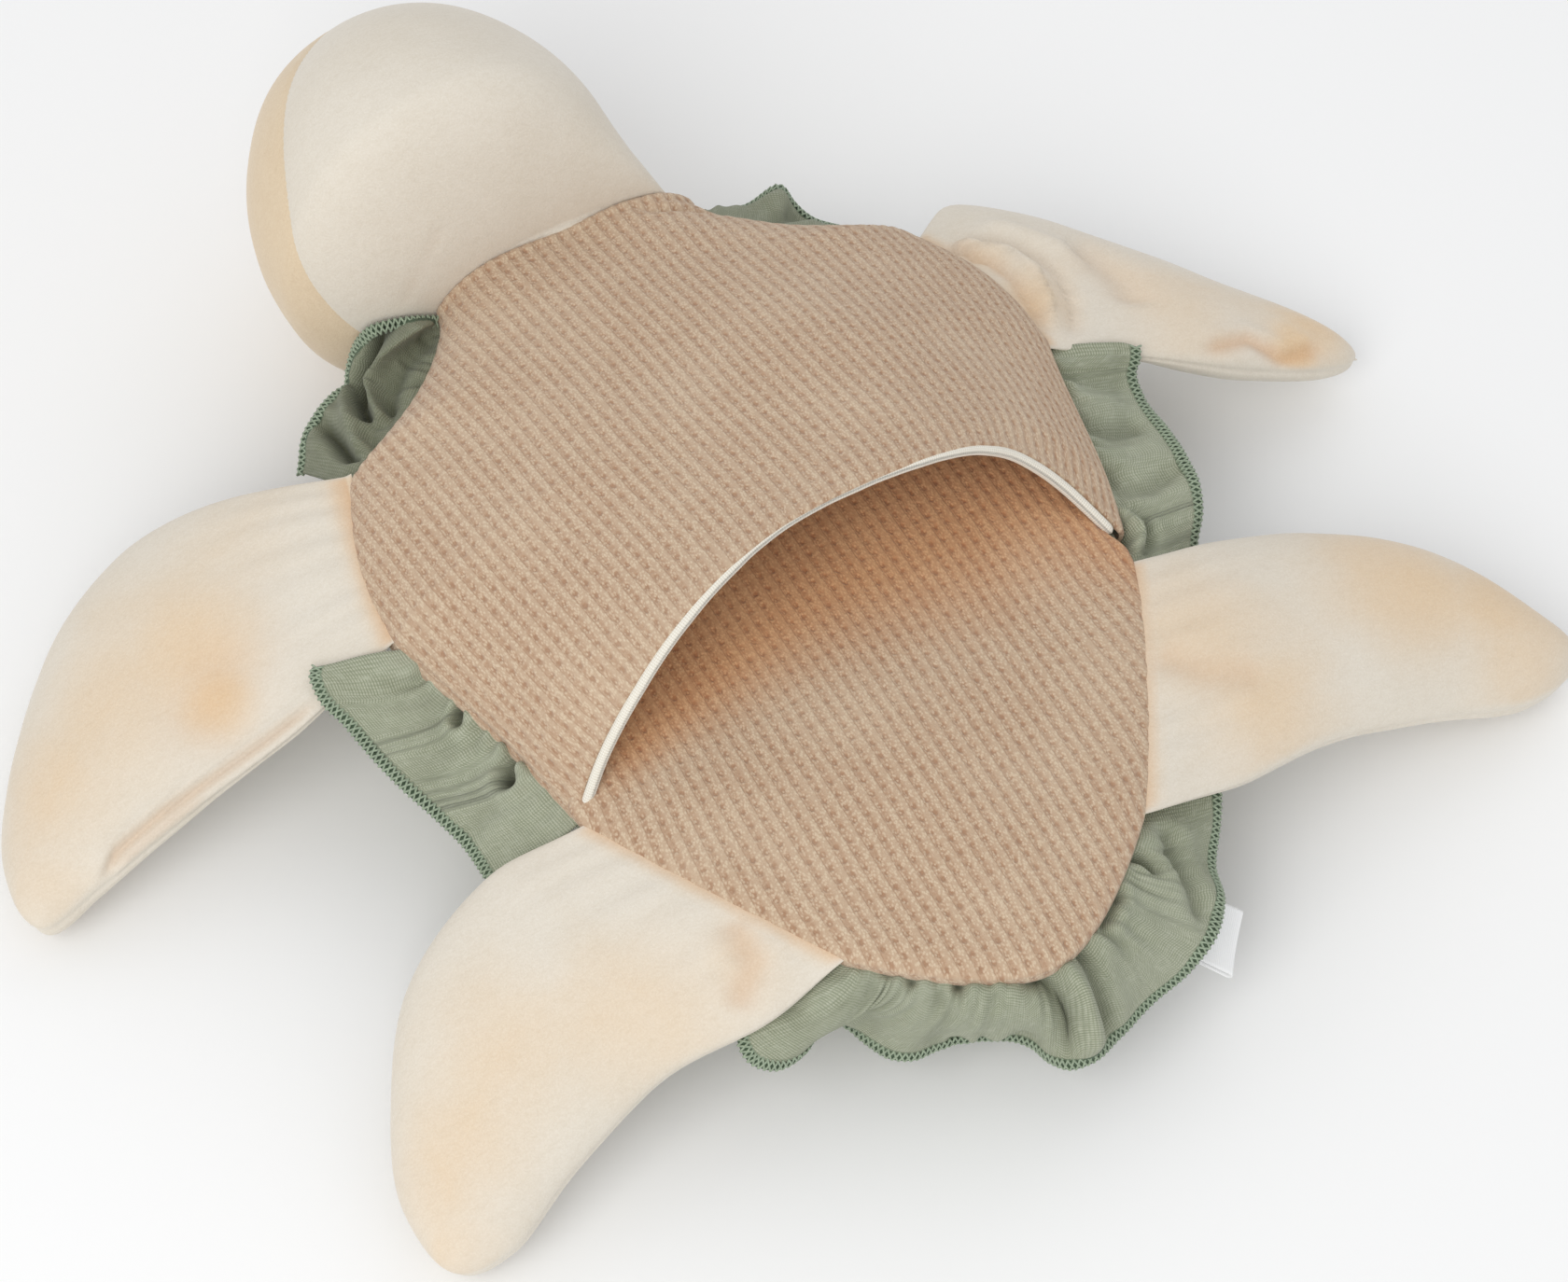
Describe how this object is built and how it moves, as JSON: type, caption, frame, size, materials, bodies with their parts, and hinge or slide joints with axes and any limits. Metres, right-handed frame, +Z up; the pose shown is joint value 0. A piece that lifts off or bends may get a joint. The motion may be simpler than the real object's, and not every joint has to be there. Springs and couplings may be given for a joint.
{
  "type": "hand puppet",
  "caption": "Stuffed turtle hand puppet lying on its shell, with a knitted belly pocket for a hand, soft flippers, a rounded head and a gathered cloth ruffle.",
  "frame": {"origin": "middle of the small flat patch on the shell's dome that the puppet rests on", "axes": "+Z up, out of the belly; +Y from the tail towards the head; +X towards the turtle's own left side"},
  "size_m": [0.4209, 0.3757, 0.1245],
  "materials": {
    "shell_poplin": "matte woven cotton, sage green",
    "ruffle_poplin": "matte woven cotton, sage green, with an overlocked edge",
    "waffle_knit": "matte waffle knit, pinkish tan",
    "lining_jersey": "matte fine jersey, ivory",
    "ivory_velour": "short-pile velour, ivory with peach shading",
    "beige_velour": "short-pile velour, beige peach",
    "stuffing": "white polyester wadding",
    "eye_thread": "satin-stitched dark brown thread, slightly glossy",
    "satin_ribbon": "white satin ribbon, blank"
  },
  "bodies": {
    "body": {"back_shell_cover": "shell_poplin", "shell_stuffing": "stuffing", "belly_panel": "waffle_knit", "pocket_panel": "waffle_knit", "pocket_lining": "lining_jersey", "pocket_mouth_piping": "lining_jersey", "ruffle_neck_left": "ruffle_poplin", "ruffle_neck_right": "ruffle_poplin", "ruffle_side_left": "ruffle_poplin", "ruffle_side_right": "ruffle_poplin", "ruffle_tail": "ruffle_poplin", "side_ribbon_loop": "satin_ribbon"},
    "head": {"head_chin_panel": "ivory_velour", "head_crown_panel": "beige_velour", "head_stuffing": "stuffing", "left_eye": "eye_thread", "right_eye": "eye_thread"},
    "front_left_flipper": {"front_left_flipper_belly_panel": "ivory_velour", "front_left_flipper_back_panel": "ivory_velour", "front_left_flipper_stuffing": "stuffing"},
    "front_right_flipper": {"front_right_flipper_belly_panel": "ivory_velour", "front_right_flipper_back_panel": "ivory_velour", "front_right_flipper_stuffing": "stuffing"},
    "rear_left_flipper": {"rear_left_flipper_belly_panel": "ivory_velour", "rear_left_flipper_back_panel": "ivory_velour", "rear_left_flipper_stuffing": "stuffing"},
    "rear_right_flipper": {"rear_right_flipper_belly_panel": "ivory_velour", "rear_right_flipper_back_panel": "ivory_velour", "rear_right_flipper_stuffing": "stuffing"}
  },
  "joints": [
    {"name": "head_nod", "type": "hinge", "parent": "body", "child": "head", "pos_m": [0, 0.138, 0.054], "axis": [1, 0, 0], "range_deg": [-15, 30]},
    {"name": "front_left_flap", "type": "hinge", "parent": "body", "child": "front_left_flipper", "pos_m": [0.0892, 0.0976, 0.058], "axis": [0.2387, -0.9711, 0], "range_deg": [0, 80]},
    {"name": "front_right_flap", "type": "hinge", "parent": "body", "child": "front_right_flipper", "pos_m": [-0.0892, 0.0976, 0.058], "axis": [0.2387, 0.9711, 0], "range_deg": [0, 80]},
    {"name": "rear_left_flap", "type": "hinge", "parent": "body", "child": "rear_left_flipper", "pos_m": [0.0843, -0.0298, 0.058], "axis": [-0.4938, -0.8696, 0], "range_deg": [0, 100]},
    {"name": "rear_right_flap", "type": "hinge", "parent": "body", "child": "rear_right_flipper", "pos_m": [-0.0843, -0.0298, 0.058], "axis": [-0.4938, 0.8696, 0], "range_deg": [0, 100]}
  ]
}
